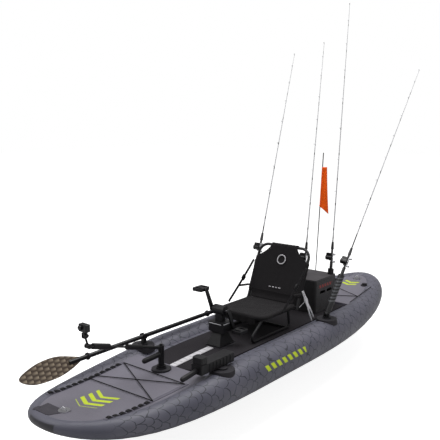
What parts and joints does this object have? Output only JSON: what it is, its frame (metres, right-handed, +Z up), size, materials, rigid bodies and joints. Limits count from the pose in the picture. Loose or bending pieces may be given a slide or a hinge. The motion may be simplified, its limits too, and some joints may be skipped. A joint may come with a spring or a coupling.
{
  "type": "pedal boat",
  "caption": "Inflatable fishing pedal boat with side tubes, framed seat, crank drive, gear crate, flag, paddle and rod holders.",
  "frame": {"origin": "under the middle of the hull, at the height of the lowest point of the hull amidships", "axes": "bow towards -Y, stern towards +Y, port side towards +X, +Z up"},
  "size_m": [1.1134, 3.8597, 2.998],
  "materials": {
    "hull_fabric": "matt coated fabric",
    "floor_fabric": "matt coated fabric",
    "deck_fabric": "matt coated fabric",
    "patch_fabric": "matt",
    "pad_foam": "closed cell foam",
    "strip_plastic": "white with marks",
    "valve_plastic": "matt",
    "ring_steel": "polished",
    "webbing": "woven",
    "bungee": "braided",
    "base_plastic": "matt",
    "seat_tube": "satin powder coat",
    "seat_fabric": "woven mesh",
    "drive_plastic": "matt",
    "drive_alloy": "satin black",
    "shaft_steel": "brushed",
    "pedal_plastic": "matt",
    "propeller_plastic": "gloss",
    "crate_plastic": "matt",
    "panel_plastic": "matt",
    "tube_plastic": "matt",
    "holder_metal": "satin",
    "pole_fibreglass": "gloss",
    "flag_cloth": "bright nylon",
    "rod_blank": "gloss",
    "reel_body": "satin",
    "reel_metal": "satin",
    "paddle_carbon": "satin",
    "blade_composite": "patterned",
    "ring_rubber": "matt",
    "mount_plastic": "matt",
    "camera_plastic": "satin",
    "case_plastic": "matt"
  },
  "bodies": {
    "hull": {"bow_deck_panel": "deck_fabric", "bow_post": "holder_metal", "bow_webbing": "webbing", "bungee_cords": "bungee", "cockpit_pad": "pad_foam", "crate_body": "crate_plastic", "crate_lid": "panel_plastic", "drive_box": "drive_plastic", "drive_column": "drive_alloy", "drive_head": "drive_plastic", "drive_well_collar": "base_plastic", "fishing_pliers": "shaft_steel", "flag": "flag_cloth", "flag_pole": "pole_fibreglass", "floor_chamber": "floor_fabric", "gear_case": "case_plastic", "holder_forks": "holder_metal", "inflation_valves": "valve_plastic", "lower_unit": "drive_alloy", "measuring_strip": "strip_plastic", "mount_bases": "base_plastic", "nose_patches": "patch_fabric", "paddle_clip": "mount_plastic", "port_side_tube": "hull_fabric", "reel_crate_front": "reel_body", "reel_crate_rear": "reel_body", "rod_crate_front": "rod_blank", "rod_crate_rear": "rod_blank", "rod_tubes": "tube_plastic", "seat_base_frame": "seat_tube", "seat_leg_frame": "seat_tube", "seat_sling": "seat_fabric", "seat_straps": "webbing", "starboard_side_tube": "hull_fabric", "stern_deck_panel": "deck_fabric", "tow_rings": "ring_steel"},
    "seat_back": {"seat_back_frame": "seat_tube", "seat_back_fabric": "seat_fabric"},
    "crank": {"crank_axle": "shaft_steel", "crank_arms": "drive_alloy"},
    "port_pedal": {"port_pedal": "pedal_plastic"},
    "starboard_pedal": {"starboard_pedal": "pedal_plastic"},
    "drive_shaft": {"drive_shaft": "shaft_steel"},
    "propeller": {"propeller": "propeller_plastic"},
    "port_rod_holder": {"port_aft_holder": "tube_plastic", "rod_port_aft": "rod_blank", "reel_port_aft": "reel_body"},
    "starboard_rod_holder": {"starboard_aft_holder": "tube_plastic", "rod_starboard_aft": "rod_blank", "reel_starboard_aft": "reel_body"},
    "port_reel_handle": {"reel_handle_port_aft": "reel_metal"},
    "starboard_reel_handle": {"reel_handle_starboard_aft": "reel_metal"},
    "crate_front_reel_handle": {"reel_handle_crate_front": "reel_metal"},
    "crate_rear_reel_handle": {"reel_handle_crate_rear": "reel_metal"},
    "paddle": {"paddle_shaft": "paddle_carbon", "paddle_blades": "blade_composite", "paddle_drip_rings": "ring_rubber"},
    "camera_lower_arm": {"camera_lower_arm": "mount_plastic"},
    "camera_upper_arm": {"camera_upper_arm": "mount_plastic"},
    "camera_head": {"camera": "camera_plastic"}
  },
  "joints": [
    {"name": "seat_recline", "type": "hinge", "parent": "hull", "child": "seat_back", "pos_m": [0, 0.27, 0.368], "axis": [1, 0, 0], "range_deg": [-10, 75], "deforming": ["seat_straps"]},
    {"name": "crank_spin", "type": "hinge", "parent": "hull", "child": "crank", "pos_m": [0, -0.38, 0.455], "axis": [1, 0, 0], "continuous": true},
    {"name": "port_pedal_spin", "type": "hinge", "parent": "crank", "child": "port_pedal", "pos_m": [0, -0.31748, 0.30772], "axis": [1, 0, 0], "continuous": true},
    {"name": "starboard_pedal_spin", "type": "hinge", "parent": "crank", "child": "starboard_pedal", "pos_m": [0, -0.44252, 0.60228], "axis": [1, 0, 0], "continuous": true},
    {"name": "shaft_spin", "type": "hinge", "parent": "hull", "child": "drive_shaft", "pos_m": [0, -0.38, 0.2], "axis": [0, 0, 1], "continuous": true},
    {"name": "propeller_spin", "type": "hinge", "parent": "hull", "child": "propeller", "pos_m": [0, -0.38, -0.165], "axis": [0, 1, 0], "continuous": true},
    {"name": "port_rod_tilt", "type": "hinge", "parent": "hull", "child": "port_rod_holder", "pos_m": [0.368, 0.49, 0.28774], "axis": [0.9917, 0, -0.1288], "range_deg": [-20, 20]},
    {"name": "starboard_rod_tilt", "type": "hinge", "parent": "hull", "child": "starboard_rod_holder", "pos_m": [-0.368, 0.49, 0.28774], "axis": [1, 0, -0.0052], "range_deg": [-20, 20]},
    {"name": "port_reel_spin", "type": "hinge", "parent": "port_rod_holder", "child": "port_reel_handle", "pos_m": [0.42004, 0.64904, 0.68843], "axis": [0.9917, 0, -0.1288], "continuous": true},
    {"name": "starboard_reel_spin", "type": "hinge", "parent": "starboard_rod_holder", "child": "starboard_reel_handle", "pos_m": [-0.36576, 0.56827, 0.71485], "axis": [1, 0, -0.0052], "continuous": true},
    {"name": "crate_front_reel_spin", "type": "hinge", "parent": "hull", "child": "crate_front_reel_handle", "pos_m": [-0.03781, 0.7734, 0.63634], "axis": [1, 0, 0.007], "continuous": true},
    {"name": "crate_rear_reel_spin", "type": "hinge", "parent": "hull", "child": "crate_rear_reel_handle", "pos_m": [0.13621, 0.91401, 0.63617], "axis": [0.9999, 0, -0.0105], "continuous": true},
    {"name": "paddle_lift", "type": "slide", "parent": "hull", "child": "paddle", "axis": [0, 0, 1], "range_m": [0, 0.1]},
    {"name": "camera_swing", "type": "hinge", "parent": "hull", "child": "camera_lower_arm", "pos_m": [0, -0.985, 0.345], "axis": [0, 0, 1], "range_deg": [-60, 60]},
    {"name": "camera_elbow", "type": "hinge", "parent": "camera_lower_arm", "child": "camera_upper_arm", "pos_m": [0, -1.578, 0.522], "axis": [1, 0, 0], "range_deg": [-45, 45]},
    {"name": "camera_tilt", "type": "hinge", "parent": "camera_upper_arm", "child": "camera_head", "pos_m": [0, -1.6, 0.5935], "axis": [1, 0, 0], "range_deg": [-30, 30]}
  ],
  "couplings": [
    {"joint": "shaft_spin", "follows": "crank_spin", "ratio": 2.5},
    {"joint": "propeller_spin", "follows": "crank_spin", "ratio": -4}
  ]
}
